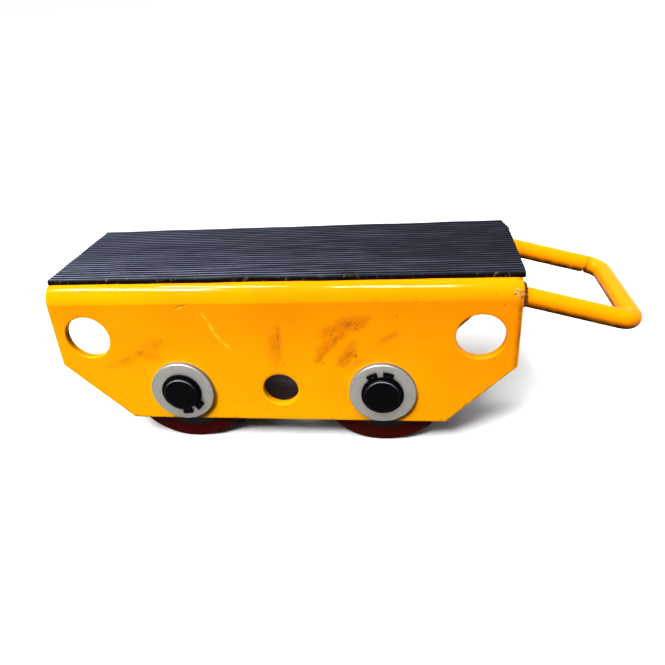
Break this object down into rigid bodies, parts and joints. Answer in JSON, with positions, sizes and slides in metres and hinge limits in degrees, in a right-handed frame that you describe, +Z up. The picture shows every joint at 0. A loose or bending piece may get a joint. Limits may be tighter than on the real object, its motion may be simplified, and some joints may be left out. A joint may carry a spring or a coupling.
{
  "type": "machine skate",
  "caption": "Low steel skate with a ribbed rubber deck, wide polyurethane wheels on cross shafts and a sloping loop handle, rolled under heavy machines to move them.",
  "frame": {"origin": "on the floor, under the middle of the overall length and width", "axes": "+X along the skate towards the handle, +Y across it along the shafts, +Z up"},
  "size_m": [0.311, 0.102, 0.1025],
  "materials": {
    "yellow_enamel": "glossy enamel over steel plate, scuffed",
    "mat_rubber": "ribbed matt rubber",
    "tread_polyurethane": "cast polyurethane, dark red, satin",
    "zinc_steel": "dull zinc plate",
    "black_oxide_steel": "black oxide, oiled",
    "turned_steel": "turned steel",
    "bearing_steel": "ground steel",
    "cage_nylon": "moulded nylon",
    "seal_rubber": "moulded rubber"
  },
  "bodies": {
    "frame": {"frame_channel": "yellow_enamel", "deck_mat": "mat_rubber", "tow_handle": "yellow_enamel", "handle_welds": "yellow_enamel"},
    "front_right_ball_set": {"front_right_bearing_balls": "bearing_steel", "front_right_bearing_cage": "cage_nylon"},
    "front_left_ball_set": {"front_left_bearing_balls": "bearing_steel", "front_left_bearing_cage": "cage_nylon"},
    "front_axle": {"front_axle_shaft": "black_oxide_steel", "front_bearing_sleeve": "turned_steel", "front_right_washer": "zinc_steel", "front_right_circlip": "black_oxide_steel", "front_right_side_spacer": "turned_steel", "front_right_bearing_inner_ring": "bearing_steel", "front_left_washer": "zinc_steel", "front_left_circlip": "black_oxide_steel", "front_left_side_spacer": "turned_steel", "front_left_bearing_inner_ring": "bearing_steel"},
    "front_wheel": {"front_wheel_tread": "tread_polyurethane", "front_wheel_core": "turned_steel", "front_right_bearing_outer_ring": "bearing_steel", "front_right_bearing_seals": "seal_rubber", "front_left_bearing_outer_ring": "bearing_steel", "front_left_bearing_seals": "seal_rubber"},
    "rear_right_ball_set": {"rear_right_bearing_balls": "bearing_steel", "rear_right_bearing_cage": "cage_nylon"},
    "rear_left_ball_set": {"rear_left_bearing_balls": "bearing_steel", "rear_left_bearing_cage": "cage_nylon"},
    "rear_axle": {"rear_axle_shaft": "black_oxide_steel", "rear_bearing_sleeve": "turned_steel", "rear_right_washer": "zinc_steel", "rear_right_circlip": "black_oxide_steel", "rear_right_side_spacer": "turned_steel", "rear_right_bearing_inner_ring": "bearing_steel", "rear_left_washer": "zinc_steel", "rear_left_circlip": "black_oxide_steel", "rear_left_side_spacer": "turned_steel", "rear_left_bearing_inner_ring": "bearing_steel"},
    "rear_wheel": {"rear_wheel_tread": "tread_polyurethane", "rear_wheel_core": "turned_steel", "rear_right_bearing_outer_ring": "bearing_steel", "rear_right_bearing_seals": "seal_rubber", "rear_left_bearing_outer_ring": "bearing_steel", "rear_left_bearing_seals": "seal_rubber"}
  },
  "joints": [
    {"name": "front_axle_turn", "type": "hinge", "parent": "frame", "child": "front_axle", "pos_m": [0.02553, 0, 0.0375], "axis": [0, 1, 0], "continuous": true},
    {"name": "front_wheel_spin", "type": "hinge", "parent": "front_axle", "child": "front_wheel", "pos_m": [0.02553, 0, 0.0375], "axis": [0, 1, 0], "continuous": true},
    {"name": "front_right_ball_set_orbit", "type": "hinge", "parent": "front_axle", "child": "front_right_ball_set", "pos_m": [0.02553, 0, 0.0375], "axis": [0, 1, 0], "continuous": true},
    {"name": "front_left_ball_set_orbit", "type": "hinge", "parent": "front_axle", "child": "front_left_ball_set", "pos_m": [0.02553, 0, 0.0375], "axis": [0, 1, 0], "continuous": true},
    {"name": "rear_axle_turn", "type": "hinge", "parent": "frame", "child": "rear_axle", "pos_m": [-0.08647, 0, 0.0375], "axis": [0, 1, 0], "continuous": true},
    {"name": "rear_wheel_spin", "type": "hinge", "parent": "rear_axle", "child": "rear_wheel", "pos_m": [-0.08647, 0, 0.0375], "axis": [0, 1, 0], "continuous": true},
    {"name": "rear_right_ball_set_orbit", "type": "hinge", "parent": "rear_axle", "child": "rear_right_ball_set", "pos_m": [-0.08647, 0, 0.0375], "axis": [0, 1, 0], "continuous": true},
    {"name": "rear_left_ball_set_orbit", "type": "hinge", "parent": "rear_axle", "child": "rear_left_ball_set", "pos_m": [-0.08647, 0, 0.0375], "axis": [0, 1, 0], "continuous": true}
  ],
  "couplings": [
    {"joint": "front_right_ball_set_orbit", "follows": "front_wheel_spin", "ratio": 0.60242},
    {"joint": "front_left_ball_set_orbit", "follows": "front_wheel_spin", "ratio": 0.60242},
    {"joint": "rear_right_ball_set_orbit", "follows": "rear_wheel_spin", "ratio": 0.60242},
    {"joint": "rear_left_ball_set_orbit", "follows": "rear_wheel_spin", "ratio": 0.60242}
  ]
}
